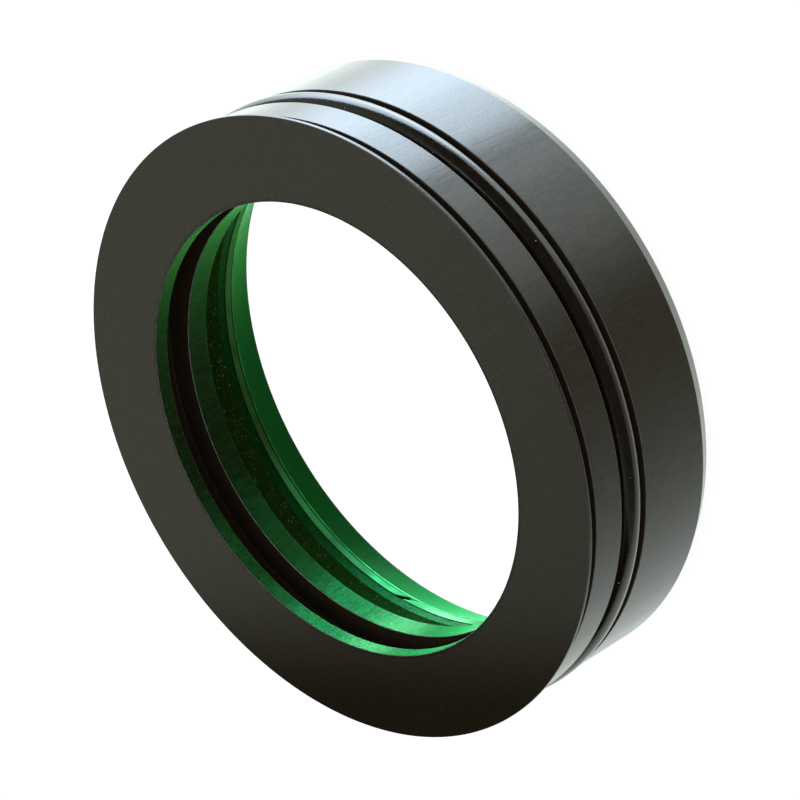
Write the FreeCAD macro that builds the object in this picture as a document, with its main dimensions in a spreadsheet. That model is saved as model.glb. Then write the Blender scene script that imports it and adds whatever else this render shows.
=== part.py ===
import FreeCAD, Part
import Sketcher
import os

# A round colour filter: a green glass disc held in a black turned ring.
# The ring's axis is Z. The rear face lies on Z = 0, the lipped front face looks up,
# and the origin is the centre of the rear face. All sizes are in millimetres.

doc = FreeCAD.newDocument("colour_filter")
V = FreeCAD.Vector

# Driving dimensions

SIZES = (
    # outside of the mount ring, from the front
    ("body_diameter", 49.0),
    ("lip_overhang", 0.5),
    ("lip_thickness", 0.4),
    ("overall_length", 14.8),
    ("relief_width", 1.0),
    ("relief_depth", 0.7),
    ("front_land_width", 2.85),
    ("seal_groove_width", 2.75),
    ("rear_chamfer_length", 1.25),
    ("rear_chamfer_depth", 0.7),
    # inside of the mount ring, from the front
    ("front_bore_land", 1.25),
    ("empty_groove_width", 2.3),
    ("empty_groove_depth", 2.05),
    ("rear_bore_land", 2.0),
    ("wall_under_seal", 2.49),
    ("rear_face_width", 2.05),
    # broken edges of the turned ring
    ("edge_break", 0.12),
    # round rubber ring in the outer groove, how far it stands out of the body and how far
    # behind the middle of its groove it lies
    ("seal_cord_diameter", 2.0),
    ("seal_stand_out", 0.17),
    ("seal_set_back", 0.18),
    # glass, the soft ring in front of it and the wire behind it
    ("glass_margin", 1.75),
    ("glass_thickness", 2.0),
    ("glass_bevel", 0.2),
    ("gasket_length", 2.95),
    ("gasket_wall", 0.35),
    ("wire_diameter", 0.6),
    ("wire_hold", 0.15),
    ("wire_end_gap", 0.6),
    ("wire_gap_direction", 134.9),
    ("wire_to_flare", 0.73),
    # clearances between pieces
    ("pocket_clearance", 0.15),
    ("seal_clearance", 0.03),
    ("wire_clearance", 0.05),
    ("wire_rest_clearance", 0.02),
    ("seat_clearance", 0.01),
)

sheet = doc.addObject("Spreadsheet::Sheet", "Sizes")
for row, (alias, value) in enumerate(SIZES, start=1):
    sheet.set("A%d" % row, alias)
    sheet.set("B%d" % row, str(value))
    sheet.setAlias("B%d" % row, alias)
doc.recompute()


def size(alias):
    return "Sizes." + alias


def radius(alias):
    return "Sizes.%s / 2" % alias


def plus(*terms):
    return " + ".join(terms)


def less(start, *terms):
    return "%s - (%s)" % (start, " + ".join(terms))


# Heights above the rear face, worked out from the front face downwards

FRONT = size("overall_length")
LIP_BACK = less(FRONT, size("lip_thickness"))
LAND_FRONT = less(LIP_BACK, size("relief_width"))
SEAL_TOP = less(LAND_FRONT, size("front_land_width"))
SEAL_BOTTOM = less(SEAL_TOP, size("seal_groove_width"))
CHAMFER_TOP = size("rear_chamfer_length")

EMPTY_TOP = less(FRONT, size("front_bore_land"))
EMPTY_BOTTOM = less(EMPTY_TOP, size("empty_groove_width"))
SHOULDER = less(EMPTY_BOTTOM, size("rear_bore_land"))
GASKET_TOP = less(SHOULDER, size("seat_clearance"))
GASKET_BOTTOM = less(GASKET_TOP, size("gasket_length"))
GLASS_TOP = less(GASKET_BOTTOM, size("seat_clearance"))
GLASS_BOTTOM = less(GLASS_TOP, size("glass_thickness"))

# The wire rests against the edge between the flat of the glass and its bevel. Its centre lies
# this far outside that edge, and below it by the rest of the distance between the two.
WIRE_ASIDE = "(%s)" % less(
    plus(size("pocket_clearance"), size("glass_bevel"), size("wire_hold")), radius("wire_diameter")
)
WIRE_REACH = "(%s)" % plus(radius("wire_diameter"), size("wire_rest_clearance"))
WIRE_DROP = "sqrt(%s * %s - %s * %s)" % (WIRE_REACH, WIRE_REACH, WIRE_ASIDE, WIRE_ASIDE)
WIRE_CENTRE = less(GLASS_BOTTOM, WIRE_DROP)
FLARE_TOP = less(WIRE_CENTRE, size("wire_to_flare"))

# Radii, worked out from the body inwards: the seal ring in its groove, the wall under it,
# the glass in its pocket, and the bore, whose wall stands in front of the glass's margin

BODY = radius("body_diameter")
LIP = plus(BODY, size("lip_overhang"))
RELIEF_FLOOR = less(BODY, size("relief_depth"))
SEAL_FLOOR = less(
    plus(BODY, size("seal_stand_out")), size("seal_cord_diameter"), size("seal_clearance")
)
SEAL_CENTRE = less(plus(BODY, size("seal_stand_out")), radius("seal_cord_diameter"))
REAR_EDGE = less(BODY, size("rear_chamfer_depth"))
POCKET = less(SEAL_FLOOR, size("wall_under_seal"))
GLASS_RIM = less(POCKET, size("pocket_clearance"))
BORE = less(GLASS_RIM, size("glass_margin"))
EMPTY_FLOOR = plus(BORE, size("empty_groove_depth"))
GASKET_OUTSIDE = less(POCKET, size("seat_clearance"))
GASKET_INSIDE = less(GASKET_OUTSIDE, size("gasket_wall"))
WIRE_RING = less(plus(POCKET, size("wire_hold")), radius("wire_diameter"))
WIRE_GROOVE = plus(radius("wire_diameter"), size("wire_clearance"))
MOUTH = less(REAR_EDGE, size("rear_face_width"))


def value_of(text):
    """Work out one of the expressions above; a height of None is the rear plane."""
    return 0.0 if text is None else float(sheet.evalExpression(text.replace("Sizes.", "")))


def new_body(label):
    body = doc.addObject("PartDesign::Body", label)
    body.Label = label
    return body


def origin_plane(body, role):
    return [feature for feature in body.Origin.OriginFeatures if feature.Role == role][0]


def new_sketch(body, name, role="XZ_Plane"):
    sketch = body.newObject("Sketcher::SketchObject", name)
    sketch.AttachmentSupport = (origin_plane(body, role), [""])
    sketch.MapMode = "FlatFace"
    return sketch


def place_point(sketch, geometry, point, label, across, up):
    """Bind one point's distances from the axis and from the rear plane to their sizes."""
    for kind, tag, text in (("DistanceX", "across", across), ("DistanceY", "up", up)):
        if text is None:
            sketch.addConstraint(Sketcher.Constraint("PointOnObject", geometry, point, -1))
            continue
        constraint = Sketcher.Constraint(kind, -1, 1, geometry, point, value_of(text))
        index = sketch.addConstraint(constraint)
        sketch.renameConstraint(index, "%s_%s" % (label, tag))
        sketch.setExpression("Constraints.%s_%s" % (label, tag), text)


def section(body, name, corners):
    """Draw a closed section in the half plane of the axis; a height of None is the rear plane."""
    sketch = new_sketch(body, name)
    spots = [V(value_of(across), value_of(up), 0) for across, up in corners]
    lines = [Part.LineSegment(a, b) for a, b in zip(spots, spots[1:] + spots[:1])]
    sketch.addGeometry(lines, False)
    for index in range(len(lines)):
        following = (index + 1) % len(lines)
        sketch.addConstraint(Sketcher.Constraint("Coincident", index, 2, following, 1))
    for index, (across, up) in enumerate(corners):
        place_point(sketch, index, 1, "corner%d" % index, across, up)
    return sketch


def round_section(body, name, across, up, wire_radius):
    """Draw a circle whose centre lies beside the axis."""
    sketch = new_sketch(body, name)
    centre = V(value_of(across), value_of(up), 0)
    sketch.addGeometry(Part.Circle(centre, V(0, 0, 1), value_of(wire_radius)), False)
    place_point(sketch, 0, 3, "centre", across, up)
    index = sketch.addConstraint(Sketcher.Constraint("Radius", 0, value_of(wire_radius)))
    sketch.renameConstraint(index, "section_radius")
    sketch.setExpression("Constraints.section_radius", wire_radius)
    return sketch


def turn(body, kind, name, sketch, degrees="360"):
    """Revolve a section round the Z axis, to add metal or to cut it away."""
    feature = body.newObject("PartDesign::" + kind, name)
    feature.Profile = sketch
    feature.ReferenceAxis = (sketch, ["V_Axis"])
    feature.setExpression("Angle", degrees)
    sketch.Visibility = False
    doc.recompute()
    return feature


def ring_section(body, name, inner, outer, low, high):
    return section(body, name, [(inner, low), (outer, low), (outer, high), (inner, high)])


def cut_ring(body, name, inner, outer, low, high):
    """Cut a groove with a rectangular section, and make sure that it took metal away."""
    before = body.Shape.Volume
    sketch = ring_section(body, name + "_section", inner, outer, low, high)
    groove = turn(body, "Groove", name, sketch)
    if body.Shape.Volume >= before:
        raise RuntimeError(name + " cuts nothing")
    return groove


def rim_names(shape, rims):
    """Find the circular edges that lie at the given radii and heights."""
    names = []
    for across, up in rims:
        wanted_radius = value_of(across)
        wanted_height = value_of(up)
        found = [
            "Edge%d" % number
            for number, edge in enumerate(shape.Edges, start=1)
            if isinstance(edge.Curve, Part.Circle)
            and abs(edge.Curve.Radius - wanted_radius) < 1e-5
            and abs(edge.Curve.Center.z - wanted_height) < 1e-5
        ]
        if not found:
            raise RuntimeError("no rim at %s, %s" % (across, up))
        names.extend(found)
    return names


def break_edges(body, name, rims, width):
    """Break the named rims with one small chamfer width."""
    base = body.Tip
    chamfer = body.newObject("PartDesign::Chamfer", name)
    chamfer.Base = (base, rim_names(base.Shape, rims))
    chamfer.setExpression("Size", width)
    doc.recompute()
    return chamfer


# Mount ring: a lipped blank is turned, then grooved, bored and flared

ring = new_body("mount_ring")
blank_section = section(
    ring,
    "blank_section",
    [
        (BORE, None),
        (REAR_EDGE, None),
        (BODY, CHAMFER_TOP),
        (BODY, LIP_BACK),
        (LIP, LIP_BACK),
        (LIP, FRONT),
        (BORE, FRONT),
    ],
)
turn(ring, "Revolution", "blank", blank_section)

# the relief behind the lip lets a holder's edge seat squarely against it
CLEAR_OF_BODY = plus(BODY, size("edge_break"))
cut_ring(ring, "relief", RELIEF_FLOOR, CLEAR_OF_BODY, LAND_FRONT, LIP_BACK)
cut_ring(ring, "seal_groove", SEAL_FLOOR, CLEAR_OF_BODY, SEAL_BOTTOM, SEAL_TOP)

# inside, cuts start a little inside the bore wall
CLEAR_OF_BORE = less(BORE, size("edge_break"))
cut_ring(ring, "empty_groove", CLEAR_OF_BORE, EMPTY_FLOOR, EMPTY_BOTTOM, EMPTY_TOP)
pocket_section = section(
    ring,
    "pocket_section",
    [
        (CLEAR_OF_BORE, None),
        (MOUTH, None),
        (POCKET, FLARE_TOP),
        (POCKET, SHOULDER),
        (CLEAR_OF_BORE, SHOULDER),
    ],
)
turn(ring, "Groove", "pocket", pocket_section)
turn(
    ring,
    "Groove",
    "wire_groove",
    round_section(ring, "wire_groove_section", WIRE_RING, WIRE_CENTRE, WIRE_GROOVE),
)

break_edges(
    ring,
    "broken_edges",
    [
        (LIP, FRONT),
        (LIP, LIP_BACK),
        (BODY, LAND_FRONT),
        (BODY, SEAL_TOP),
        (BODY, SEAL_BOTTOM),
        (BORE, FRONT),
        (BORE, EMPTY_TOP),
        (BORE, EMPTY_BOTTOM),
        (BORE, SHOULDER),
        (REAR_EDGE, None),
        (MOUTH, None),
    ],
    size("edge_break"),
)

# Seal ring: a plain torus that lies a little behind the middle of its groove

seal = doc.addObject("Part::Torus", "seal_ring")
seal.Label = "seal_ring"
seal.setExpression("Radius1", SEAL_CENTRE)
seal.setExpression("Radius2", radius("seal_cord_diameter"))
SEAL_HEIGHT = less("(%s + %s) / 2" % (SEAL_TOP, SEAL_BOTTOM), size("seal_set_back"))
seal.setExpression("Placement.Base.z", SEAL_HEIGHT)

# Gasket ring: a short soft sleeve between the rear bore land's shoulder and the glass

gasket = new_body("gasket_ring")
sleeve_section = ring_section(
    gasket, "sleeve_section", GASKET_INSIDE, GASKET_OUTSIDE, GASKET_BOTTOM, GASKET_TOP
)
turn(gasket, "Revolution", "sleeve", sleeve_section)

# Filter glass: a flat disc with both rims bevelled

glass = new_body("filter_glass")
disc_sketch = new_sketch(glass, "disc_outline", "XY_Plane")
disc_sketch.addGeometry(Part.Circle(V(0, 0, 0), V(0, 0, 1), value_of(GLASS_RIM)), False)
disc_sketch.addConstraint(Sketcher.Constraint("Coincident", 0, 3, -1, 1))
rim_index = disc_sketch.addConstraint(Sketcher.Constraint("Radius", 0, value_of(GLASS_RIM)))
disc_sketch.renameConstraint(rim_index, "rim_radius")
disc_sketch.setExpression("Constraints.rim_radius", GLASS_RIM)
disc_sketch.setExpression("AttachmentOffset.Base.z", GLASS_BOTTOM)
disc = glass.newObject("PartDesign::Pad", "disc")
disc.Profile = disc_sketch
disc.setExpression("Length", size("glass_thickness"))
doc.recompute()
break_edges(
    glass,
    "rim_bevels",
    [(GLASS_RIM, GLASS_BOTTOM), (GLASS_RIM, GLASS_TOP)],
    size("glass_bevel"),
)

# Retaining wire: one open turn of round spring wire in the shallow groove behind the glass

wire = new_body("retaining_wire")
GAP_ANGLE = "%s / (%s) * 180 / pi" % (size("wire_end_gap"), WIRE_RING)
turn(
    wire,
    "Revolution",
    "open_turn",
    round_section(wire, "wire_section", WIRE_RING, WIRE_CENTRE, radius("wire_diameter")),
    "360 - " + GAP_ANGLE,
)
wire.Placement.Rotation = FreeCAD.Rotation(V(0, 0, 1), 0)
wire.setExpression(
    "Placement.Rotation.Angle", "%s + %s / 2" % (size("wire_gap_direction"), GAP_ANGLE)
)

doc.recompute()

# Every object is sound before any file is written

for thing in doc.Objects:
    if "Invalid" in thing.State or "Error" in thing.State:
        raise RuntimeError("%s failed: %s" % (thing.Label, thing.State))

pieces = [ring, seal, gasket, glass, wire]
for piece in pieces:
    if piece.Shape.isNull() or not piece.Shape.isValid():
        raise RuntimeError(piece.Label + " has no sound shape")
    if len(piece.Shape.Solids) != 1:
        raise RuntimeError(piece.Label + " is not one solid")

os.makedirs("parts", exist_ok=True)
for piece in pieces:
    piece.Shape.exportStep("parts/%s.step" % piece.Label)
    box = piece.Shape.BoundBox
    print(
        "%s: volume %.2f, z %.3f to %.3f, across %.3f"
        % (piece.Label, piece.Shape.Volume, box.ZMin, box.ZMax, box.XLength)
    )
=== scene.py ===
"""A green glass filter in a black turned ring, dressed for the camera.

The ring lies on its rear face with its axis along Z. Every size is in metres.
"""

import math

import bpy
import numpy as np
from mathutils import Matrix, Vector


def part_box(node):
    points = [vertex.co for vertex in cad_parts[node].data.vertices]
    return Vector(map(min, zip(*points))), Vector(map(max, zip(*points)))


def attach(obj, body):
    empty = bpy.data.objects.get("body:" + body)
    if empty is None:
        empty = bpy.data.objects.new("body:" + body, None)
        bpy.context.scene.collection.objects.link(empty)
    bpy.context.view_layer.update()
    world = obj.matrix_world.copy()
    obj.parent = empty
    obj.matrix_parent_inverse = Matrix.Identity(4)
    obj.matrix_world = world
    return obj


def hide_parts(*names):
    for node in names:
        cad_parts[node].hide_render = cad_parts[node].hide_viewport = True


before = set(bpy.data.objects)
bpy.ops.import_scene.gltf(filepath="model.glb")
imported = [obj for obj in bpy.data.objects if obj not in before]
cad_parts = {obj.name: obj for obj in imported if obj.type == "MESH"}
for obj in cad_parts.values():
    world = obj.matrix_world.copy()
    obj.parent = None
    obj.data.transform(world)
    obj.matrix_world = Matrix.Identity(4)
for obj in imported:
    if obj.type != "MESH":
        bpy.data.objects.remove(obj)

bl_info = {
    "name": "Colour filter dressing",
    "version": (1, 0, 0),
    "blender": (4, 5, 0),
    "location": "View3D > Sidebar > Filter",
    "description": "Turns the pieces of a round colour filter and lights them",
    "category": "Object",
}

MM = 0.001
BODY = "root"

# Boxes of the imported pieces, which give the main sizes and places
RING_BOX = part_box("mount_ring")
SEAL_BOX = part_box("seal_ring")
GASKET_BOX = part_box("gasket_ring")
GLASS_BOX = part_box("filter_glass")
WIRE_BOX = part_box("retaining_wire")

# How finely the pieces are turned
TURN_STEPS = 360
ROUND_STEPS = 5
CORD_STEPS = 40


def length_of(name, default, description):
    """A size in metres that a user can change."""
    return bpy.props.FloatProperty(
        name=name, description=description, default=default, unit="LENGTH", precision=5
    )


def colour_of(name, default, description):
    """A linear colour that a user can change."""
    return bpy.props.FloatVectorProperty(
        name=name, description=description, default=default, subtype="COLOR", size=3,
        min=0.0, max=1.0,
    )


def share_of(name, default, description):
    """A plain number from 0 to 1 that a user can change."""
    return bpy.props.FloatProperty(
        name=name, description=description, default=default, min=0.0, max=1.0
    )


class RingSizes(bpy.types.PropertyGroup):
    """Sizes of the mount ring, whose outside and heights come from its packed box."""

    lip_radius: length_of("Lip radius", RING_BOX[1].x, "Radius of the thin front lip")
    height: length_of("Length", RING_BOX[1].z, "From the rear face to the front face")
    lip_thickness: length_of("Lip thickness", 0.34 * MM, "Thickness of the front lip")
    body_radius: length_of("Body radius", 24.5 * MM, "Radius of both outer lands")
    relief_width: length_of("Relief width", 1.06 * MM, "Width of the groove behind the lip")
    relief_depth: length_of("Relief depth", 0.7 * MM, "Depth of the groove behind the lip")
    front_land: length_of("Front land", 2.85 * MM, "Width of the outer land behind the relief")
    seal_groove_width: length_of("Seal groove width", 2.75 * MM, "Width of the seal's groove")
    seal_floor: length_of("Seal floor radius", 22.64 * MM, "Radius of the seal groove's floor")
    chamfer_length: length_of("Rear chamfer length", 1.25 * MM, "Length of the rear chamfer")
    chamfer_depth: length_of("Rear chamfer depth", 0.7 * MM, "Depth of the rear chamfer")
    bore_radius: length_of("Bore radius", 18.25 * MM, "Radius of both inner lands")
    front_bore_land: length_of("Front bore land", 1.25 * MM, "Width of the front inner land")
    empty_groove_width: length_of("Empty groove width", 2.3 * MM, "Width of the inner groove")
    empty_groove_depth: length_of("Empty groove depth", 2.05 * MM, "Depth of the inner groove")
    rear_bore_land: length_of("Rear bore land", 2.0 * MM, "Width of the rear inner land")
    pocket_radius: length_of("Pocket radius", 20.15 * MM, "Radius of the glass's pocket")
    flare_height: length_of("Flare height", 3.30 * MM, "Where the flared mouth begins")
    mouth_radius: length_of("Mouth radius", 21.7 * MM, "Radius of the mouth at the rear face")
    wire_seat: length_of("Wire seat depth", 0.2 * MM, "Depth of the retaining wire's groove")
    edge_round: length_of("Edge round", 0.07 * MM, "Radius of the broken outer edges")
    corner_round: length_of("Corner round", 0.07 * MM, "Radius left by the tool in corners")


class SoftSizes(bpy.types.PropertyGroup):
    """Sizes of the seal ring and the gasket ring, from their packed boxes."""

    seal_outside: length_of("Seal outside", SEAL_BOX[1].x, "Outer radius of the seal ring")
    seal_low: length_of("Seal bottom", SEAL_BOX[0].z, "Lowest point of the seal ring")
    seal_high: length_of("Seal top", SEAL_BOX[1].z, "Highest point of the seal ring")
    gasket_outside: length_of("Gasket outside", GASKET_BOX[1].x, "Outer radius of the gasket")
    gasket_wall: length_of("Gasket wall", 0.35 * MM, "Wall of the gasket ring")
    gasket_low: length_of("Gasket bottom", GASKET_BOX[0].z, "Lower end of the gasket")
    gasket_high: length_of("Gasket top", GASKET_BOX[1].z, "Upper end of the gasket")
    gasket_round: length_of("Gasket round", 0.1 * MM, "Radius of the gasket's edges")


class GlassSizes(bpy.types.PropertyGroup):
    """Sizes of the glass and its retaining wire, from their packed boxes."""

    rim_radius: length_of("Glass radius", GLASS_BOX[1].x, "Radius of the glass disc")
    low: length_of("Glass bottom", GLASS_BOX[0].z, "Height of the rear face of the glass")
    high: length_of("Glass top", GLASS_BOX[1].z, "Height of the front face of the glass")
    bevel: length_of("Glass bevel", 0.04 * MM, "Width of the small bevels on its rims")
    wire_outside: length_of("Wire outside", WIRE_BOX[1].x, "Outer radius of the wire's turn")
    wire_low: length_of("Wire bottom", WIRE_BOX[0].z, "Lowest point of the wire")
    wire_high: length_of("Wire top", WIRE_BOX[1].z, "Highest point of the wire")
    wire_gap: length_of("Wire gap", 0.45 * MM, "Gap between the wire's two ends")
    wire_spring: length_of("Wire spring", 0.03 * MM, "How far one end springs off the glass")
    wire_gap_turn: bpy.props.FloatProperty(
        name="Gap direction", description="Where the wire's gap lies, from +X",
        default=math.radians(134.9), subtype="ANGLE", unit="ROTATION",
    )


class FilterColours(bpy.types.PropertyGroup):
    """Linear colours of the finishes."""

    anodising: colour_of("Anodising", (0.0103, 0.0078, 0.0036), "Black anodised aluminium")
    # The groove colour is painted light: a lighter brown that stands in for light reaching the groove
    # walls
    groove: colour_of("Groove", (0.034, 0.023, 0.014), "Anodising down in the grooves")
    worn_edge: colour_of("Worn edge", (0.42, 0.43, 0.44), "Aluminium where edges are rubbed")
    seal: colour_of("Seal rubber", (0.008, 0.005, 0.0026), "Round rubber ring")
    # The gasket colour is partly painted light: dark rubber, with a green cast that stands in for
    # green light through the glass
    gasket: colour_of("Gasket rubber", (0.013, 0.023, 0.001), "Soft ring behind the bore")
    dust: colour_of("Dust", (0.32, 0.31, 0.27), "Specks of dust and lint")
    glass: colour_of("Glass", (0.1, 0.68, 0.25), "Green glass, as white light leaves it")
    # The glass rim colour is partly painted light: a dark blackened rim, with a green cast that stands
    # in for green light scattered in the glass
    glass_rim: colour_of("Glass rim", (0.012, 0.028, 0.009), "Ground and blackened rim")
    # The wire colour is a dark steel tone with a red cast
    wire: colour_of("Wire", (0.21, 0.12, 0.15), "Spring steel, darkened by oil")


class StageSettings(bpy.types.PropertyGroup):
    """Camera, floor and lamps."""

    camera_place: bpy.props.FloatVectorProperty(
        name="Camera place", description="Where the camera stands",
        default=(0.0, -0.298542, 0.257958), unit="LENGTH", subtype="TRANSLATION",
    )
    lens: bpy.props.FloatProperty(
        name="Lens", description="Focal length in millimetres on a 36 mm frame",
        default=232.81, min=1.0,
    )
    floor_seen: share_of("Floor seen", 0.94, "Strength of the floor and backdrop to the camera")
    floor_albedo: share_of("Floor shade", 0.14, "Share of the lamps' light that the floor returns")
    world_level: share_of("Surround", 0.75, "Soft light from all round")


# Shapes


def rounded_outline(corners, radii, steps, wear=0.0, hollow=(0.0, 0.0)):
    """Round every corner of a closed outline.

    corners is an (n, 2) array of distance from the axis and height, counter-clockwise.
    Each corner P with unit directions a to the one before and b to the one after is replaced
    by an arc of its own radius q: it touches both sides at q / tan(half the corner's angle)
    from P, and its centre lies on the angle's bisector. A point on the arc is
    centre + q * normal, where the normal turns evenly from one side's normal to the other's.
    Returns the points, their outward normals and three values for each point: the length along
    the outline up to it, the wear, which is the corner's own share in the middle of an outward
    round and 0 on the flats, and the share of being down in a groove, which turns over the
    corner from hollow's first value to its second.
    """
    corners, radii = np.asarray(corners, float), np.asarray(radii, float)
    before = np.roll(corners, 1, axis=0) - corners
    after = np.roll(corners, -1, axis=0) - corners
    a = before / np.linalg.norm(before, axis=1, keepdims=True)
    b = after / np.linalg.norm(after, axis=1, keepdims=True)
    half = 0.5 * np.arccos(np.clip(np.sum(a * b, axis=1), -1.0, 1.0))
    outward = np.sign(b[:, 0] * a[:, 1] - b[:, 1] * a[:, 0])
    bisector = (a + b) / np.linalg.norm(a + b, axis=1, keepdims=True)
    centre = corners + bisector * (radii / np.sin(half))[:, None]
    first_normal = np.stack([-a[:, 1], a[:, 0]], axis=1)
    start = np.arctan2(first_normal[:, 1], first_normal[:, 0])
    sweep = outward * (math.pi - 2 * half)
    share = np.linspace(0.0, 1.0, steps)
    angle = start[:, None] + sweep[:, None] * share[None, :]
    normal = np.stack([np.cos(angle), np.sin(angle)], axis=2)
    points = centre[:, None, :] + normal * (outward * radii)[:, None, None]
    worn = np.where(outward > 0, wear, 0.0)[:, None] * np.sin(math.pi * share)[None, :]
    first, last = np.asarray(hollow, float).reshape(-1, 2).T[:, :, None]
    deep = np.broadcast_to(first + (last - first) * share, angle.shape)
    points, normal = points.reshape(-1, 2), normal.reshape(-1, 2)
    gaps = np.linalg.norm(np.diff(points, axis=0), axis=1)
    along = np.concatenate([[0.0], np.cumsum(gaps)])
    return points, normal, {"along": along, "edge": worn.ravel(), "hollow": deep.ravel()}


def turned_mesh(name, points, normals, values, steps=TURN_STEPS):
    """Turn a closed outline round the Z axis into a mesh with exact normals.

    The vertex at step j and outline point i is (r cos t, r sin t, z), with t = 2 pi j / steps
    and (r, z) the outline point, and its normal turns with it. Faces join each vertex to the
    next step and the next outline point, and both ways close on themselves.
    """
    turn = np.linspace(0.0, 2 * math.pi, steps, endpoint=False)
    count = len(points)
    cosine, sine = np.cos(turn)[:, None], np.sin(turn)[:, None]
    place = np.stack(
        [cosine * points[:, 0], sine * points[:, 0], np.ones_like(cosine) * points[:, 1]], axis=2
    )
    facing = np.stack(
        [cosine * normals[:, 0], sine * normals[:, 0], np.ones_like(cosine) * normals[:, 1]], axis=2
    )
    step, spot = np.meshgrid(np.arange(steps), np.arange(count), indexing="ij")
    step, spot = step.ravel(), spot.ravel()
    next_step, next_spot = (step + 1) % steps, (spot + 1) % count
    quads = np.stack(
        [
            step * count + spot,
            next_step * count + spot,
            next_step * count + next_spot,
            step * count + next_spot,
        ],
        axis=1,
    )
    mesh = smooth_mesh(name, place.reshape(-1, 3), quads.tolist())
    for label, numbers in values.items():
        mark_points(mesh, label, np.tile(numbers, steps))
    mesh.normals_split_custom_set_from_vertices(facing.reshape(-1, 3).tolist())
    return mesh


def smooth_mesh(name, places, faces):
    """A smooth mesh from an array of points and a list of faces."""
    mesh = bpy.data.meshes.new(name)
    mesh.from_pydata(places.tolist(), [], faces)
    mesh.polygons.foreach_set("use_smooth", np.ones(len(faces), bool))
    mesh.update()
    if mesh.validate():
        raise RuntimeError(name + " has faulty faces")
    return mesh


def mark_points(mesh, label, numbers):
    """Store one number for each point, which materials can read by its label."""
    attribute = mesh.attributes.new(label, "FLOAT", "POINT")
    attribute.data.foreach_set("value", np.asarray(numbers, np.float32))


def place_piece(name, mesh, slot, *materials):
    """Link a finished mesh at the origin as the piece that stands for the node of its name."""
    for material in materials:
        mesh.materials.append(material)
    piece = bpy.data.objects.new(name + "_finished", mesh)
    bpy.context.scene.collection.objects.link(piece)
    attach(piece, BODY)
    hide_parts(name)


def ring_outline(sizes):
    """The mount ring's section, counter-clockwise from the rear face's inner edge."""
    front = sizes.height
    lip_back = front - sizes.lip_thickness
    land_front = lip_back - sizes.relief_width
    seal_top = land_front - sizes.front_land
    seal_bottom = seal_top - sizes.seal_groove_width
    relief_floor = sizes.body_radius - sizes.relief_depth
    rear_edge = sizes.body_radius - sizes.chamfer_depth
    groove_top = front - sizes.front_bore_land
    groove_bottom = groove_top - sizes.empty_groove_width
    shoulder = groove_bottom - sizes.rear_bore_land
    groove_floor = sizes.bore_radius + sizes.empty_groove_depth
    wire_middle = 0.5 * (WIRE_BOX[0].z + WIRE_BOX[1].z)
    wire_half = 0.345 * MM
    wire_seat = sizes.pocket_radius + sizes.wire_seat
    seat_slope = 0.06 * MM
    edge, corner = sizes.edge_round, sizes.corner_round
    body, bore = sizes.body_radius, sizes.bore_radius
    fine = 0.05 * MM
    soft = 0.07 * MM
    ridge = 0.4 * MM
    # distance from the axis, height, round, wear, and how far down in a groove before and after, which
    # sets the painted groove light
    spots = [
        (sizes.mouth_radius, 0.0, edge, 0.2, 0, 0),
        (rear_edge, 0.0, edge, 0.2, 0, 0),
        (body, sizes.chamfer_length, edge, 0.3, 0, 0),
        (body, seal_bottom, soft, 0.4, 0, 1),
        (sizes.seal_floor, seal_bottom, corner, 0, 1, 1),
        (sizes.seal_floor, seal_top, corner, 0, 1, 1),
        (body, seal_top, edge, 0.8, 1, 0),
        (body, land_front, edge, 0.5, 0, 1),
        (relief_floor, land_front, corner, 0, 1, 1),
        (relief_floor, lip_back, corner, 0, 1, 1),
        (sizes.lip_radius, lip_back, edge, 0.3, 1, 0),
        (sizes.lip_radius, front, edge, 0.1, 0, 0),
        (bore, front, fine, 0.2, 0, 0),
        (bore, groove_top, fine, 0.6, 0, 0.5),
        (groove_floor, groove_top, corner, 0, 0.5, 0.5),
        (groove_floor, groove_bottom, corner, 0, 0.5, 0.5),
        (bore, groove_bottom, fine, 0.5, 0.5, 0),
        (bore, shoulder, fine, 0.9, 0, 0),
        (sizes.pocket_radius, shoulder, corner, 0, 0, 0),
        (sizes.pocket_radius, wire_middle + wire_half, corner, 0, 0, 0),
        (wire_seat, wire_middle + wire_half - seat_slope, corner, 0, 0, 0),
        (wire_seat, wire_middle - wire_half + seat_slope, corner, 0, 0, 0),
        (sizes.pocket_radius, wire_middle - wire_half, fine, 0, 0, 0),
        (sizes.pocket_radius, sizes.flare_height, ridge, 1.0, 0, 0),
    ]
    table = np.array(spots)
    return rounded_outline(table[:, :2], table[:, 2], ROUND_STEPS, table[:, 3], table[:, 4:])


def round_section(centre_radius, centre_height, radius, steps):
    """A circle beside the axis: centre + radius * (cos a, sin a), and each point's length round it."""
    angle = np.linspace(0.0, 2 * math.pi, steps, endpoint=False)
    normal = np.stack([np.cos(angle), np.sin(angle)], axis=1)
    points = np.array([centre_radius, centre_height]) + radius * normal
    return points, normal, {"along": radius * angle}


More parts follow.
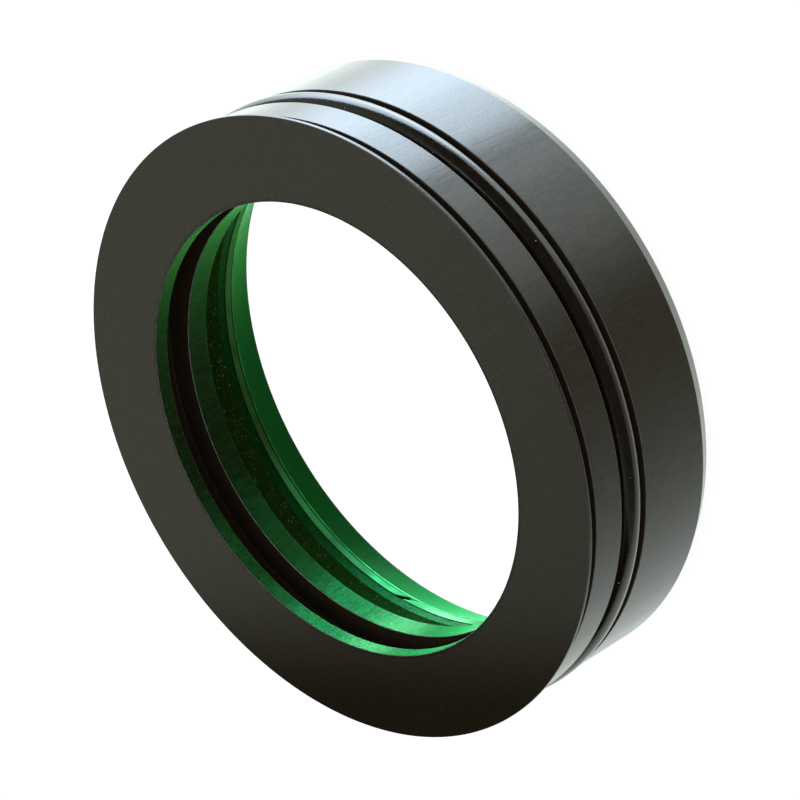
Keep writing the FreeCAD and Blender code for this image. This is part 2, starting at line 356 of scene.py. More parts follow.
def disc_mesh(name, rim_radius, low, high, bevel, steps=TURN_STEPS):
    """A flat disc with bevelled rims, closed at its two centres.

    Its rings lie at (r, z) = (share of the rim, low), the two bevels and the side, and
    (share of the rim, high). Flat faces have flat normals, and the side and both bevels are
    told apart by their material.
    """
    flat_edge = math.radians(20.0)
    inner = rim_radius - bevel
    outline = np.array(
        [(0.5 * inner, low), (inner, low), (rim_radius, low + bevel),
         (rim_radius, high - bevel), (inner, high), (0.5 * inner, high)]
    )
    turn = np.linspace(0.0, 2 * math.pi, steps, endpoint=False)
    count = len(outline)
    places = np.stack(
        [np.cos(turn)[:, None] * outline[:, 0], np.sin(turn)[:, None] * outline[:, 0],
         np.ones((steps, 1)) * outline[:, 1]], axis=2
    ).reshape(-1, 3)
    places = np.concatenate([places, [(0.0, 0.0, low), (0.0, 0.0, high)]])
    step, spot = np.meshgrid(np.arange(steps), np.arange(count - 1), indexing="ij")
    step, spot = step.ravel(), spot.ravel()
    following = (step + 1) % steps
    quads = np.stack(
        [step * count + spot, following * count + spot,
         following * count + spot + 1, step * count + spot + 1], axis=1
    )
    around = np.arange(steps)
    after = (around + 1) % steps
    low_centre, high_centre = steps * count, steps * count + 1
    low_fan = np.stack([np.full(steps, low_centre), after * count, around * count], axis=1)
    high_fan = np.stack(
        [np.full(steps, high_centre), around * count + count - 1, after * count + count - 1], axis=1
    )
    mesh = bpy.data.meshes.new(name)
    mesh.from_pydata(places.tolist(), [], quads.tolist() + low_fan.tolist() + high_fan.tolist())
    # the outline's runs from 1 to count - 3 are the bevels and the side, and run 2 is the side
    rim = (spot >= 1) & (spot <= count - 3)
    mesh.polygons.foreach_set(
        "material_index", np.concatenate([rim.astype(np.int32), np.zeros(2 * steps, np.int32)])
    )
    side = spot == 2
    mesh.polygons.foreach_set("use_smooth", np.concatenate([side, np.zeros(2 * steps, bool)]))
    mesh.set_sharp_from_angle(angle=flat_edge)
    mesh.update()
    if mesh.validate():
        raise RuntimeError(name + " has faulty faces")
    return mesh


def wire_mesh(name, ring_radius, height, half, gap, gap_turn, spring, steps=TURN_STEPS):
    """One open turn of flattened wire with rounded ends.

    The centre line is a circle of ring_radius. Its turn t runs from half the gap past
    gap_turn round to half the gap before it. The section is the curve |x|^n + |z|^n = 1, which
    is a square with soft corners, times half, its half width and half height. Near each end
    it shrinks as a quarter circle to tip_share, so that the tip is domed. The last end springs
    away from the glass by spring * exp(-distance from the tip / fade), and both ends are cut at a
    slant, for which t also falls with the height.
    """
    squareness = 14.0
    tip_share = 0.25
    dome = 0.32 * MM
    fade = math.radians(11.0)
    half_gap = 0.5 * gap / ring_radius
    dome_steps = 7
    dome_turn = dome / ring_radius
    lead = dome_turn * (1.0 - np.cos(np.linspace(0.0, 0.5 * math.pi, dome_steps)))
    span = 2 * math.pi - 2 * half_gap
    middle = np.linspace(dome_turn, span - dome_turn, steps)[1:-1]
    travel = np.concatenate([lead, middle, span - lead[::-1]])
    from_tip = np.minimum(travel, span - travel) / dome_turn
    lift = np.sqrt(np.clip(1.0 - (1.0 - np.minimum(from_tip, 1.0)) ** 2, 0.0, 1.0))
    section = tip_share + (1.0 - tip_share) * lift
    turn = gap_turn + half_gap + travel
    centre_height = height - spring * np.exp(-(span - travel) / fade)
    angle = np.linspace(0.0, 2 * math.pi, CORD_STEPS, endpoint=False) + math.pi / CORD_STEPS
    across, upward = np.cos(angle), np.sin(angle)
    across = np.sign(across) * np.abs(across) ** (2 / squareness)
    upward = np.sign(upward) * np.abs(upward) ** (2 / squareness)
    r = ring_radius + half[0] * section[:, None] * across[None, :]
    z = centre_height[:, None] + half[1] * section[:, None] * upward[None, :]
    slant = -2.0 / ring_radius
    turned = turn[:, None] + slant * (z - height)
    places = np.stack([r * np.cos(turned), r * np.sin(turned), z], axis=2)
    count, rows = CORD_STEPS, len(travel)
    step, spot = np.meshgrid(np.arange(rows - 1), np.arange(count), indexing="ij")
    step, spot = step.ravel(), spot.ravel()
    beside = (spot + 1) % count
    quads = np.stack(
        [step * count + spot, (step + 1) * count + spot,
         (step + 1) * count + beside, step * count + beside], axis=1
    )
    first_cap = [list(range(count))]
    last_cap = [list(range(rows * count - 1, (rows - 1) * count - 1, -1))]
    mesh = smooth_mesh(name, places.reshape(-1, 3), quads.tolist() + first_cap + last_cap)
    mark_points(mesh, "along", np.tile(half[0] * angle, rows))
    return mesh


# Node tools


def add_node(tree, kind, sockets=None, **settings):
    """Add a node, set its own settings, and link or set its inputs."""
    node = tree.nodes.new(kind)
    node.location = (200 * len(tree.nodes), 0)
    for key, value in settings.items():
        setattr(node, key, value)
    for key, value in (sockets or {}).items():
        if isinstance(value, bpy.types.NodeSocket):
            tree.links.new(value, node.inputs[key])
        else:
            node.inputs[key].default_value = value
    return node


def calc(tree, operation, *terms):
    """A Math node on sockets or numbers."""
    sockets = dict(enumerate(terms))
    return add_node(tree, "ShaderNodeMath", sockets, operation=operation).outputs[0]


def span_of(tree, value, low, high, to_low=0.0, to_high=1.0, smooth=True):
    """Map a value from one span to another, held at both ends."""
    kind = "SMOOTHSTEP" if smooth else "LINEAR"
    sockets = {
        "Value": value, "From Min": low, "From Max": high, "To Min": to_low, "To Max": to_high,
    }
    return add_node(tree, "ShaderNodeMapRange", sockets, interpolation_type=kind).outputs["Result"]


def blend_colours(tree, share, first, second):
    """Mix two colours by a share."""
    node = add_node(tree, "ShaderNodeMix", data_type="RGBA")
    terms = (("Factor", share), (6, first), (7, second))
    for socket, value in ((node.inputs[key], value) for key, value in terms):
        if isinstance(value, bpy.types.NodeSocket):
            tree.links.new(value, socket)
        else:
            socket.default_value = value
    return node.outputs[2]


def new_group(name, inputs, outputs):
    """A shader node group with named sockets, and its two ends."""
    tree = bpy.data.node_groups.new(name, "ShaderNodeTree")
    for label, kind, default in inputs:
        socket = tree.interface.new_socket(name=label, in_out="INPUT", socket_type=kind)
        if default is not None:
            socket.default_value = default
    for label, kind in outputs:
        tree.interface.new_socket(name=label, in_out="OUTPUT", socket_type=kind)
    return tree, tree.nodes.new("NodeGroupInput").outputs, tree.nodes.new("NodeGroupOutput").inputs


def use_group(tree, name, sockets):
    """Place a group in a material with its own values."""
    node = tree.nodes.new("ShaderNodeGroup")
    node.node_tree = bpy.data.node_groups[name]
    for key, value in sockets.items():
        if isinstance(value, bpy.types.NodeSocket):
            tree.links.new(value, node.inputs[key])
        else:
            node.inputs[key].default_value = value
    return node.outputs


def build_groups():
    """The effects that several finishes share."""
    number, vector = "NodeSocketFloat", "NodeSocketVector"

    # streaks that run along the axis: noise on x and y, drawn out along z
    tree, given, out = new_group(
        "axial_streaks",
        [("Place", vector, None), ("Width", number, 0.0003), ("Drawn out", number, 25.0)],
        [("Streak", number)],
    )
    across = calc(tree, "DIVIDE", 1.0, given["Width"])
    lengthwise = calc(tree, "DIVIDE", across, given["Drawn out"])
    scale = add_node(tree, "ShaderNodeCombineXYZ", {"X": across, "Y": across, "Z": lengthwise})
    place = add_node(
        tree, "ShaderNodeVectorMath", {0: given["Place"], 1: scale.outputs[0]}, operation="MULTIPLY"
    )
    noise = add_node(
        tree, "ShaderNodeTexNoise",
        {"Vector": place.outputs[0], "Scale": 1.0, "Detail": 3.0, "Roughness": 0.6},
    )
    tree.links.new(noise.outputs["Fac"], out["Streak"])

    # marks that the tool leaves round the work: noise on the length along the outline
    tree, given, out = new_group(
        "tool_marks",
        [("Along", number, 0.0), ("Pitch", number, 0.00006)],
        [("Mark", number)],
    )
    noise = add_node(
        tree, "ShaderNodeTexNoise",
        {"W": calc(tree, "DIVIDE", given["Along"], given["Pitch"]), "Scale": 1.0, "Detail": 2.0},
        noise_dimensions="1D",
    )
    tree.links.new(noise.outputs["Fac"], out["Mark"])

    # specks of dust: a share of the cells holds a small irregular spot
    tree, given, out = new_group(
        "dust_specks",
        [("Place", vector, None), ("Spacing", number, 0.0006), ("Share", number, 0.2),
         ("Size", number, 0.2)],
        [("Dust", number)],
    )
    place = add_node(
        tree, "ShaderNodeVectorMath",
        {0: given["Place"], "Scale": calc(tree, "DIVIDE", 1.0, given["Spacing"])},
        operation="SCALE",
    )
    wobble = add_node(
        tree, "ShaderNodeTexNoise", {"Vector": place.outputs[0], "Scale": 5.0, "Detail": 1.0}
    )
    cells = add_node(tree, "ShaderNodeTexVoronoi", {"Vector": place.outputs[0], "Scale": 1.0})
    pick = add_node(tree, "ShaderNodeSeparateColor", {"Color": cells.outputs["Color"]})
    held = calc(tree, "LESS_THAN", pick.outputs["Red"], given["Share"])
    reach = calc(tree, "MULTIPLY", given["Size"], calc(tree, "ADD", pick.outputs["Green"], 0.3))
    bent = calc(tree, "ADD", cells.outputs["Distance"], calc(
        tree, "MULTIPLY", calc(tree, "SUBTRACT", wobble.outputs["Fac"], 0.5), 0.25))
    inside = span_of(tree, calc(tree, "DIVIDE", bent, reach), 0.7, 1.1, 1.0, 0.0)
    tree.links.new(calc(tree, "MULTIPLY", held, inside), out["Dust"])

    # wear that breaks up along the rounded edges
    tree, given, out = new_group(
        "edge_wear",
        [("Edge", number, 0.0), ("Place", vector, None), ("Amount", number, 0.5)],
        [("Wear", number)],
    )
    noise = add_node(
        tree, "ShaderNodeTexNoise",
        {"Vector": given["Place"], "Scale": 900.0, "Detail": 4.0, "Roughness": 0.6},
    )
    ragged = span_of(tree, noise.outputs["Fac"], 0.3, 0.6, 0.35, 1.0)
    wear = calc(tree, "MULTIPLY", calc(tree, "MULTIPLY", given["Edge"], ragged), given["Amount"])
    tree.links.new(wear, out["Wear"])


def new_material(name):
    """An empty node material with its Principled shader and object coordinates."""
    material = bpy.data.materials.new(name)
    material.use_nodes = True
    tree = material.node_tree
    tree.nodes.clear()
    output = tree.nodes.new("ShaderNodeOutputMaterial")
    shader = tree.nodes.new("ShaderNodeBsdfPrincipled")
    tree.links.new(shader.outputs[0], output.inputs["Surface"])
    place = tree.nodes.new("ShaderNodeTexCoord").outputs["Object"]
    return material, tree, shader, place


def attribute_of(tree, name):
    """A number that the mesh carries on its points."""
    return add_node(tree, "ShaderNodeAttribute", attribute_name=name).outputs["Fac"]


def opaque(colour):
    """A colour with full alpha."""
    return (*colour, 1.0)


def anodised(name, colours, flare_height):
    """Black anodised aluminium: a glossy skin over fine marks, worn bright on its edges.

    The flared mouth under flare_height is dusty, the bore is duller than the outside, and the grooves
    carry a lighter brown as painted light.
    """
    mouth_reach, bore_reach = 21.8 * MM, 18.5 * MM
    least_dull, more_in_bore = 0.22, 0.4
    skin_depth = 0.006 * MM
    material, tree, shader, place = new_material(name)
    along, edge = attribute_of(tree, "along"), attribute_of(tree, "edge")
    hollow = attribute_of(tree, "hollow")
    fine = use_group(
        tree, "axial_streaks", {"Place": place, "Width": 0.00018, "Drawn out": 10.0}
    )[0]
    broad = use_group(
        tree, "axial_streaks", {"Place": place, "Width": 0.0011, "Drawn out": 30.0}
    )[0]
    marks = use_group(tree, "tool_marks", {"Along": along, "Pitch": 0.00005})[0]
    wear = use_group(tree, "edge_wear", {"Edge": edge, "Place": place, "Amount": 1.0})[0]
    dust = use_group(
        tree, "dust_specks", {"Place": place, "Spacing": 0.0005, "Share": 0.2, "Size": 0.13}
    )[0]
    x, y, z = add_node(tree, "ShaderNodeSeparateXYZ", {0: place}).outputs
    reach = calc(tree, "SQRT", calc(tree, "ADD", calc(tree, "MULTIPLY", x, x), calc(
        tree, "MULTIPLY", y, y)))
    in_mouth = calc(tree, "MULTIPLY", calc(tree, "LESS_THAN", z, flare_height), calc(
        tree, "LESS_THAN", reach, mouth_reach))
    dust = calc(tree, "MULTIPLY", dust, in_mouth)
    # painted light: the lighter groove colour, by how far down in a groove each point lies
    tone = blend_colours(tree, hollow, opaque(colours.anodising), opaque(colours.groove))
    tone = blend_colours(tree, wear, tone, opaque(colours.worn_edge))
    tone = blend_colours(tree, dust, tone, opaque(colours.dust))
    tree.links.new(tone, shader.inputs["Base Color"])
    grain = add_node(tree, "ShaderNodeTexNoise", {"Vector": place, "Scale": 6500.0, "Detail": 2.0})
    strokes = calc(tree, "ADD", calc(tree, "MULTIPLY", fine, 0.5), calc(
        tree, "MULTIPLY", grain.outputs["Fac"], 0.5))
    inside = calc(tree, "LESS_THAN", reach, bore_reach)
    dullest = calc(tree, "ADD", calc(tree, "MULTIPLY", inside, more_in_bore), least_dull)
    dull = span_of(tree, strokes, 0.4, 0.62, dullest, 0.0)
    tree.links.new(calc(tree, "MAXIMUM", wear, dull), shader.inputs["Metallic"])
    gloss = calc(tree, "ADD", span_of(tree, fine, 0.3, 0.7, 0.17, 0.24, smooth=False),
                 span_of(tree, broad, 0.3, 0.7, 0.0, 0.05, smooth=False))
    gloss = calc(tree, "ADD", gloss, calc(tree, "MULTIPLY", dust, 0.5))
    tree.links.new(gloss, shader.inputs["Roughness"])
    height = calc(
        tree, "ADD", calc(tree, "MULTIPLY", fine, 0.45), calc(tree, "MULTIPLY", broad, 0.8)
    )
    height = calc(tree, "ADD", height, calc(tree, "MULTIPLY", marks, 0.1))
    bump = add_node(
        tree, "ShaderNodeBump", {"Strength": 1.0, "Distance": skin_depth, "Height": height}
    )
    tree.links.new(bump.outputs[0], shader.inputs["Normal"])
    return material


def rubber(name, colour, colours, roughness, grain, dust_share, shine):
    """Black rubber: a skin with lighter clouds, a fine grain of the given depth and a little dust."""
    cloud_lift = 1.7
    smoother, rougher = 0.04, 0.06
    material, tree, shader, place = new_material(name)
    dust = use_group(
        tree, "dust_specks", {"Place": place, "Spacing": 0.00028, "Share": dust_share, "Size": 0.17}
    )[0]
    mottle = add_node(tree, "ShaderNodeTexNoise", {"Vector": place, "Scale": 2200.0, "Detail": 3.0})
    skin = add_node(tree, "ShaderNodeTexNoise", {"Vector": place, "Scale": 9000.0, "Detail": 3.0})
    lighter = tuple(cloud_lift * part for part in colour)
    tone = blend_colours(
        tree, span_of(tree, mottle.outputs["Fac"], 0.4, 0.7), opaque(colour), opaque(lighter)
    )
    tone = blend_colours(tree, dust, tone, opaque(colours.dust))
    tree.links.new(tone, shader.inputs["Base Color"])
    shader.inputs["Specular IOR Level"].default_value = shine
    gloss = span_of(
        tree, mottle.outputs["Fac"], 0.3, 0.7, roughness - smoother, roughness + rougher
    )
    gloss = calc(tree, "ADD", gloss, calc(tree, "MULTIPLY", dust, 0.4))
    tree.links.new(gloss, shader.inputs["Roughness"])
    height = calc(tree, "ADD", skin.outputs["Fac"], dust)
    bump = add_node(tree, "ShaderNodeBump", {"Strength": 1.0, "Distance": grain, "Height": height})
    tree.links.new(bump.outputs[0], shader.inputs["Normal"])
    return material


def green_glass(name, colours):
    """Polished glass, coloured green in the mass."""
    material, _, shader, _ = new_material(name)
    shader.inputs["Base Color"].default_value = opaque(colours.glass)
    shader.inputs["Roughness"].default_value = 0.0
    shader.inputs["IOR"].default_value = 1.52
    shader.inputs["Transmission Weight"].default_value = 1.0
    return material


def spring_wire(name, colours):
    """Dark spring steel with a red cast: fine lines run along it, and small clouds vary its shine."""
    cloud_shade = 0.6
    line_depth = 0.002 * MM
    material, tree, shader, place = new_material(name)
    along = attribute_of(tree, "along")
    lines = use_group(tree, "tool_marks", {"Along": along, "Pitch": 0.00007})[0]
    cloud = add_node(tree, "ShaderNodeTexNoise", {"Vector": place, "Scale": 700.0, "Detail": 3.0})
    dull = tuple(cloud_shade * part for part in colours.wire)
    tone = blend_colours(
        tree, span_of(tree, cloud.outputs["Fac"], 0.45, 0.8), opaque(colours.wire), opaque(dull)
    )
    tree.links.new(tone, shader.inputs["Base Color"])
    tree.links.new(
        span_of(tree, cloud.outputs["Fac"], 0.3, 0.7, 0.08, 0.14), shader.inputs["Roughness"]
    )
    shader.inputs["Metallic"].default_value = 1.0
    bump = add_node(
        tree, "ShaderNodeBump", {"Strength": 1.0, "Distance": line_depth, "Height": lines}
    )
    tree.links.new(bump.outputs[0], shader.inputs["Normal"])
    return material


# Pieces


class FILTER_OT_mount_ring(bpy.types.Operator):
    """Turn the mount ring with its lands, grooves and rounded edges"""

    bl_idname = "filter_dressing.mount_ring"
    bl_label = "Mount Ring"

    def execute(self, context):
        sizes, colours = context.scene.filter_ring, context.scene.filter_colours
        mesh = turned_mesh("mount_ring_finished", *ring_outline(sizes))
        place_piece("mount_ring", mesh, "black_anodised_aluminium",
                    anodised("black anodising", colours, sizes.flare_height))
        return {"FINISHED"}


class FILTER_OT_seal_ring(bpy.types.Operator):
    """Turn the round rubber ring in the outer groove"""

    bl_idname = "filter_dressing.seal_ring"
    bl_label = "Seal Ring"

    def execute(self, context):
        sizes, colours = context.scene.filter_soft, context.scene.filter_colours
        cord = 0.5 * (sizes.seal_high - sizes.seal_low)
        middle = 0.5 * (sizes.seal_high + sizes.seal_low)
        outline = round_section(sizes.seal_outside - cord, middle, cord, CORD_STEPS)
        mesh = turned_mesh("seal_ring_finished", *outline)
        place_piece("seal_ring", mesh, "seal_rubber",
                    rubber("seal rubber", colours.seal, colours, roughness=0.12,
                           grain=0.01 * MM, dust_share=0.02, shine=0.5))
        return {"FINISHED"}


class FILTER_OT_gasket_ring(bpy.types.Operator):
    """Turn the dull soft ring between the bore's rear land and the glass"""

    bl_idname = "filter_dressing.gasket_ring"
    bl_label = "Gasket Ring"

    def execute(self, context):
        sizes, colours = context.scene.filter_soft, context.scene.filter_colours
        inside = sizes.gasket_outside - sizes.gasket_wall
        corners = [
            (inside, sizes.gasket_low), (sizes.gasket_outside, sizes.gasket_low),
            (sizes.gasket_outside, sizes.gasket_high), (inside, sizes.gasket_high),
        ]
        rounds = [sizes.gasket_round] * len(corners)
        mesh = turned_mesh("gasket_ring_finished", *rounded_outline(corners, rounds, ROUND_STEPS))
        # the gasket colour's green cast is painted green light
        place_piece("gasket_ring", mesh, "gasket_rubber",
                    rubber("gasket rubber", colours.gasket, colours, roughness=0.5,
                           grain=0.02 * MM, dust_share=0.8, shine=0.05))
        return {"FINISHED"}


class FILTER_OT_filter_glass(bpy.types.Operator):
    """Make the green glass disc with its ground rim"""

    bl_idname = "filter_dressing.filter_glass"
    bl_label = "Filter Glass"

    def execute(self, context):
        sizes, colours = context.scene.filter_glass, context.scene.filter_colours
        mesh = disc_mesh(
            "filter_glass_finished", sizes.rim_radius, sizes.low, sizes.high, sizes.bevel
        )
        # the rim colour's green cast is painted green light
        place_piece("filter_glass", mesh, "green_glass", green_glass("green glass", colours),
                    rubber("ground glass rim", colours.glass_rim, colours, roughness=0.3,
                           grain=0.01 * MM, dust_share=0.8, shine=0.04))
        return {"FINISHED"}


class FILTER_OT_retaining_wire(bpy.types.Operator):
    """Bend the open turn of spring wire that holds the glass from behind"""

    bl_idname = "filter_dressing.retaining_wire"
    bl_label = "Retaining Wire"

    def execute(self, context):
        sizes, colours = context.scene.filter_glass, context.scene.filter_colours
        flatness, clearance = 0.55, 0.01 * MM
        wire_radius = 0.5 * (sizes.wire_high - sizes.wire_low)
        half = (flatness * wire_radius, wire_radius)
        below_glass = sizes.low - clearance - half[1]
        mesh = wire_mesh(
            "retaining_wire_finished", sizes.wire_outside - half[0], below_glass, half,
            sizes.wire_gap, sizes.wire_gap_turn, sizes.wire_spring,
        )
        place_piece("retaining_wire", mesh, "spring_wire", spring_wire("bright wire", colours))
        return {"FINISHED"}


# Stage


def stage_material(name):
    """An empty node material for something that isn't part of the object."""
    material = bpy.data.materials.new(name)
    material.use_nodes = True
    material.node_tree.nodes.clear()
    material.cycles.emission_sampling = "NONE"
    return material, material.node_tree


def stage_plate(name, corners, faces, material):
    """A flat stage piece from corner points."""
    mesh = bpy.data.meshes.new(name)
    mesh.from_pydata(corners, [], faces)
    mesh.materials.append(material)
    plate = bpy.data.objects.new(name, mesh)
    bpy.context.scene.collection.objects.link(plate)
    return plate


def floor_material(settings):
    """White floor for the camera, which returns a share of the lamps' light."""
    material, tree = stage_material("white floor")
    path = add_node(tree, "ShaderNodeLightPath").outputs
    strength = calc(tree, "MULTIPLY", path["Is Camera Ray"], settings.floor_seen)
    glow = add_node(
        tree, "ShaderNodeEmission", {"Color": opaque((1.0, 1.0, 1.0)), "Strength": strength}
    )
    shade = add_node(tree, "ShaderNodeBsdfDiffuse", {"Color": opaque((settings.floor_albedo,) * 3)})
    both = add_node(tree, "ShaderNodeAddShader", {0: glow.outputs[0], 1: shade.outputs[0]})
    output = tree.nodes.new("ShaderNodeOutputMaterial")
    tree.links.new(both.outputs[0], output.inputs["Surface"])
    return material


def only_reflected(plate):
    """A light card that only gloss sees."""
    plate.visible_camera = False
    plate.visible_diffuse = False
    plate.visible_transmission = False
    plate.visible_volume_scatter = False
    plate.visible_shadow = False


def card_material(foot, along, up):
    """A standing white card with a painted shadow of the ring near its foot, where the ring would
    touch it.

    It is lit in full from light_above, and its level rises along it from near to far.
    """
    dark_below, light_above = 3.0 * MM, 18.0 * MM
    near, far = 5.0 * MM, 50.0 * MM
    near_level, far_level = 0.5, 0.68
    card_colour = (0.95, 1.0, 0.86)
    material, tree = stage_material("standing card")
    place = tree.nodes.new("ShaderNodeTexCoord").outputs["Object"]
    offset = add_node(
        tree, "ShaderNodeVectorMath", {0: place, 1: tuple(foot)}, operation="SUBTRACT"
    ).outputs[0]
    side = add_node(
        tree, "ShaderNodeVectorMath", {0: offset, 1: tuple(along)}, operation="DOT_PRODUCT"
    ).outputs["Value"]
    rise = add_node(
        tree, "ShaderNodeVectorMath", {0: offset, 1: tuple(up)}, operation="DOT_PRODUCT"
    ).outputs["Value"]
    # painted shadow of the ring: dark below dark_below, full above light_above
    lit = span_of(tree, rise, dark_below, light_above)
    level = span_of(tree, side, near, far, near_level, far_level)
    glow = add_node(
        tree, "ShaderNodeEmission",
        {"Color": opaque(card_colour), "Strength": calc(tree, "MULTIPLY", lit, level)},
    )
    output = tree.nodes.new("ShaderNodeOutputMaterial")
    tree.links.new(glow.outputs[0], output.inputs["Surface"])
    return material


def standing_card(camera_down):
    """A card that leans on the ring's rim, square to the picture's own vertical.

    It passes through the lowest point of the rim in the picture. One of its sides is level,
    and the other goes up the card.
    """
    foot = np.array((-23.7, 8.6, 14.8)) * MM
    along = np.cross(camera_down, (0.0, 0.0, 1.0))
    along /= np.linalg.norm(along)
    up = np.array((0.0, 0.0, 1.0)) - camera_down[2] * camera_down
    up /= np.linalg.norm(up)
    left, right, low, high = -30 * MM, 160 * MM, -3 * MM, 150 * MM
    corners = [
        (foot + s * along + t * up).tolist()
        for s, t in ((left, low), (right, low), (right, high), (left, high))
    ]
    return stage_plate("standing_card", corners, [(0, 1, 2, 3)], card_material(foot, along, up))


# Soft lights that stand round the ring a little below it, for gloss alone. Each one starts, is
# full, wanes and ends at these directions round the ring, in degrees from +X, and has one colour
# where it is seen plainly and one where it comes through the glass.
SOFTBOXES = (
    ("long side light", (-104, -56, 52, 100), (1.7, 1.93, 1.97), (0.65, 1.8, 1.15)),
    ("narrow side light", (-54, -38, -36, -30), (0.9, 1.1, 1.3), (0.2, 0.5, 0.4)),
    ("edge of the main light", (-44, -30, -14, 0), (0.0, 0.0, 0.0), (1.2, 2.2, 2.0)),
    ("main light", (-25, -21, 10, 46), (5.2, 6.6, 8.1), (2.4, 7.4, 6.8)),
    ("heart of the main light", (4, 18, 26, 44), (0.0, 0.0, 0.0), (14.0, 7.5, 9.5)),
    ("tail of the main light", (34, 50, 84, 108), (0.0, 0.0, 0.0), (0.1, 1.4, 1.3)),
    ("pale end of the main light", (60, 80, 96, 112), (0.0, 0.0, 0.0), (3.4, 0.2, 1.8)),
    ("far light", (40, 90, 140, 250), (0.65, 0.78, 0.84), (0.6, 0.75, 0.36)),
)
TABLE_GLOSS = ((0.52, 0.5, 0.38), (0.75, 0.52, 0.3))
UNDERSIDE_GLOSS = ((1.1, 1.2, 1.1), (0.35, 0.6, 0.3))
UPPER_GLOSS = (0.6, 0.65, 0.56)
# Spans of the direction's y and x, and the share of UPPER_GLOSS at the two ends of each
UPPER_ALONG_Y = (-0.5, 0.3, 0.12, 1.0)
UPPER_ALONG_X = (-0.12, 0.12, 1.3, 0.98)
# Where directions round the ring are counted from, in degrees from +X
DARK_DIRECTION = -110.0
# The plain light straight below gives way to the soft lights between these heights, in degrees
UNDERSIDE_SPAN = (-72.0, -48.0)
# The horizon's height on the camera's side, half its softness, and the directions across from the
# camera where it rises to 0 and falls back, counted from DARK_DIRECTION
LOW_HORIZON = -24.0
HORIZON_BLUR = 1.5
HORIZON_RISE, HORIZON_FALL = (75.0, 115.0), (280.0, 320.0)


def gloss_light(tree, direction, through):
    """What gloss sees in a direction: the table and soft lights below the horizon.

    The direction round the ring is u = atan2(y, x), turned so that it starts at the dark side,
    and the height is asin(z). Each light is a product of a smooth rise and a smooth fall in u.
    Straight below there is one plain level, and above the horizon a dim side behind the camera.
    The horizon is lower behind the camera, where the soft lights stand lower.
    """
    x, y, z = direction.outputs
    degrees = 180 / math.pi
    around = calc(tree, "MULTIPLY", calc(tree, "ARCTAN2", y, x), degrees)
    around = calc(tree, "FLOORED_MODULO", calc(tree, "SUBTRACT", around, DARK_DIRECTION), 360.0)
    height = calc(tree, "MULTIPLY", calc(tree, "ARCSINE", z), degrees)

    def seen(colours):
        return blend_colours(tree, through, opaque(colours[0]), opaque(colours[1]))

    total = seen(TABLE_GLOSS)
    for name, edges, *colours in SOFTBOXES:
        start, full, wane, end = ((edge - DARK_DIRECTION) % 360 for edge in edges)
        rise = span_of(tree, around, start, full)
        fall = span_of(tree, around, wane, end or 360.0, 1.0, 0.0)
        share = calc(tree, "MULTIPLY", rise, fall)
        lit = add_node(
            tree, "ShaderNodeVectorMath", {0: seen(colours), 1: share, 2: total},
            operation="MULTIPLY_ADD", label=name,
        )
        total = lit.outputs[0]
    below = blend_colours(
        tree, span_of(tree, height, *UNDERSIDE_SPAN), seen(UNDERSIDE_GLOSS), total
    )
    upper_share = calc(
        tree, "MULTIPLY", span_of(tree, y, *UPPER_ALONG_Y),
        span_of(tree, x, *UPPER_ALONG_X, smooth=False),
    )
    upper = add_node(
        tree, "ShaderNodeVectorMath", {0: UPPER_GLOSS, "Scale": upper_share}, operation="SCALE"
    )
    across = calc(
        tree, "MULTIPLY", span_of(tree, around, *HORIZON_RISE),
        span_of(tree, around, *HORIZON_FALL, 1.0, 0.0),
    )
    horizon = span_of(tree, across, 0.0, 1.0, LOW_HORIZON, 0.0, smooth=False)
    over = calc(tree, "SUBTRACT", height, horizon)
    overhead = span_of(tree, over, -HORIZON_BLUR, HORIZON_BLUR)
    return blend_colours(tree, overhead, below, upper.outputs[0])


def build_world(level, glass):
    """White to the camera, soft light to the object, and lights that only gloss sees.

    What comes straight through the glass starts as white divided by the glass's own colour,
    and a little brighter for what the two faces take, so that it arrives as white.
    """
    white_behind = 1.2
    world = bpy.data.worlds.new("studio")
    bpy.context.scene.world = world
    world.use_nodes = True
    world.cycles.sampling_method = "NONE"
    tree = world.node_tree
    tree.nodes.clear()
    path = add_node(tree, "ShaderNodeLightPath").outputs
    outward = tree.nodes.new("ShaderNodeTexCoord").outputs["Generated"]
    direction = add_node(tree, "ShaderNodeSeparateXYZ", {0: outward})
    mirrored = calc(tree, "MINIMUM", path["Glossy Depth"], 1.0)
    through = calc(tree, "MINIMUM", path["Transmission Depth"], 1.0)
    scattered = calc(tree, "MINIMUM", path["Diffuse Depth"], 1.0)
    shiny = calc(tree, "MULTIPLY", mirrored, calc(tree, "SUBTRACT", 1.0, scattered))
    straight = calc(tree, "MULTIPLY", through, calc(tree, "SUBTRACT", 1.0, calc(
        tree, "MAXIMUM", mirrored, scattered)))
    behind = opaque(tuple(white_behind / part for part in glass))
    colour = blend_colours(tree, straight, opaque((level,) * 3), behind)
    colour = blend_colours(tree, shiny, colour, gloss_light(tree, direction, through))
    colour = blend_colours(tree, path["Is Camera Ray"], colour, opaque((1.0, 1.0, 1.0)))
    back = add_node(tree, "ShaderNodeBackground", {"Color": colour, "Strength": 1.0})
    output = tree.nodes.new("ShaderNodeOutputWorld")
    tree.links.new(back.outputs[0], output.inputs["Surface"])


def soft_lamp(name, place, width, energy):
    """A square lamp that faces the ring."""
    data = bpy.data.lights.new(name, "AREA")
    data.shape, data.size, data.energy = "SQUARE", width, energy
    lamp = bpy.data.objects.new(name, data)
    back = np.array(place) / np.linalg.norm(place)
    side = np.cross((0.0, 1.0, 0.0), back)
    side /= np.linalg.norm(side)
    columns = np.column_stack([side, np.cross(back, side), back])
    turn = np.eye(4)
    turn[:3, :3], turn[:3, 3] = columns, place
    lamp.matrix_world = Matrix(turn.tolist())
    lamp.visible_camera = False
    bpy.context.scene.collection.objects.link(lamp)


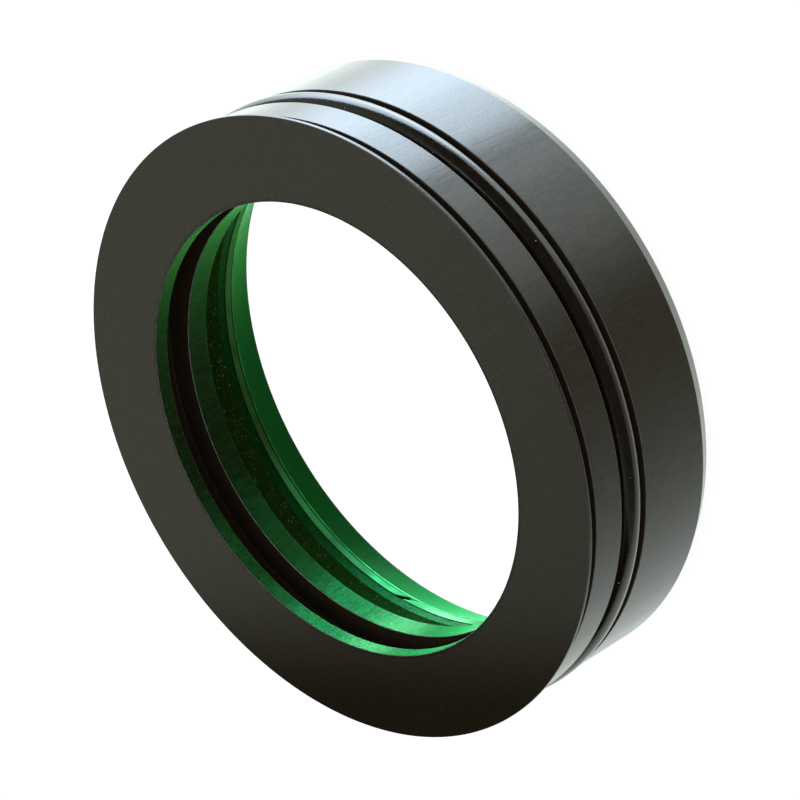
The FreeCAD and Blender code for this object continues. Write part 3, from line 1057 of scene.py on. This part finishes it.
# The camera's own axes in the ring's frame, from the fitted view
CAMERA_RIGHT = np.array((-0.49076374, -0.56035919, -0.66719452))
CAMERA_UP = np.array((0.87129199, -0.31465521, -0.37661966))
CAMERA_BACK = np.array((0.00110606, -0.76615251, 0.64265784))


class FILTER_OT_stage(bpy.types.Operator):
    """Lay the floor, set the lamps and stand the camera"""

    bl_idname = "filter_dressing.stage"
    bl_label = "Stage"

    def execute(self, context):
        scene = context.scene
        settings, colours = scene.filter_stage, scene.filter_colours
        reach = 3.0
        # just below the ring's rear face, so that the two don't lie in one plane
        level = -0.02 * MM
        signs = ((-1, -1), (1, -1), (1, 1), (-1, 1))
        corners = [(reach * x, reach * y, level) for x, y in signs]
        floor = stage_plate("floor", corners, [(0, 1, 2, 3)], floor_material(settings))
        floor.visible_glossy = False
        floor.visible_transmission = False
        only_reflected(standing_card(-CAMERA_UP))
        build_world(settings.world_level, colours.glass)
        soft_lamp("overhead_softbox", place=(0.12, 0.05, 0.5), width=0.4, energy=1.3)
        camera_data = bpy.data.cameras.new("camera")
        camera_data.lens, camera_data.sensor_width = settings.lens, 36.0
        camera_data.clip_start, camera_data.clip_end = 0.01, 20.0
        camera = bpy.data.objects.new("camera", camera_data)
        scene.collection.objects.link(camera)
        turn = np.eye(4)
        turn[:3, :3] = np.column_stack([CAMERA_RIGHT, CAMERA_UP, CAMERA_BACK])
        turn[:3, 3] = settings.camera_place
        camera.matrix_world = Matrix(turn.tolist())
        scene.camera = camera
        scene.view_settings.view_transform = "Standard"
        return {"FINISHED"}


class FILTER_PT_pieces(bpy.types.Panel):
    """Sizes and operators of the colour filter"""

    bl_idname = "FILTER_PT_pieces"
    bl_label = "Colour Filter"
    bl_space_type = "VIEW_3D"
    bl_region_type = "UI"
    bl_category = "Filter"

    def draw(self, context):
        for operator in STEPS:
            self.layout.operator(operator.bl_idname)
        for name in GROUPS:
            box = self.layout.box()
            group = getattr(context.scene, name)
            for key in group.__annotations__:
                box.prop(group, key)


STEPS = (
    FILTER_OT_mount_ring,
    FILTER_OT_seal_ring,
    FILTER_OT_gasket_ring,
    FILTER_OT_filter_glass,
    FILTER_OT_retaining_wire,
    FILTER_OT_stage,
)
GROUPS = {
    "filter_ring": RingSizes,
    "filter_soft": SoftSizes,
    "filter_glass": GlassSizes,
    "filter_colours": FilterColours,
    "filter_stage": StageSettings,
}


def register():
    for kind in (*GROUPS.values(), *STEPS, FILTER_PT_pieces):
        bpy.utils.register_class(kind)
    for name, kind in GROUPS.items():
        setattr(bpy.types.Scene, name, bpy.props.PointerProperty(type=kind))


def unregister():
    for name in GROUPS:
        delattr(bpy.types.Scene, name)
    for kind in reversed((*GROUPS.values(), *STEPS, FILTER_PT_pieces)):
        bpy.utils.unregister_class(kind)


def main():
    """Build every piece and the stage."""
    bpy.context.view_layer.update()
    register()
    build_groups()
    bpy.ops.filter_dressing.mount_ring()
    bpy.ops.filter_dressing.seal_ring()
    bpy.ops.filter_dressing.gasket_ring()
    bpy.ops.filter_dressing.filter_glass()
    bpy.ops.filter_dressing.retaining_wire()
    bpy.ops.filter_dressing.stage()


if __name__ == "__main__":
    main()
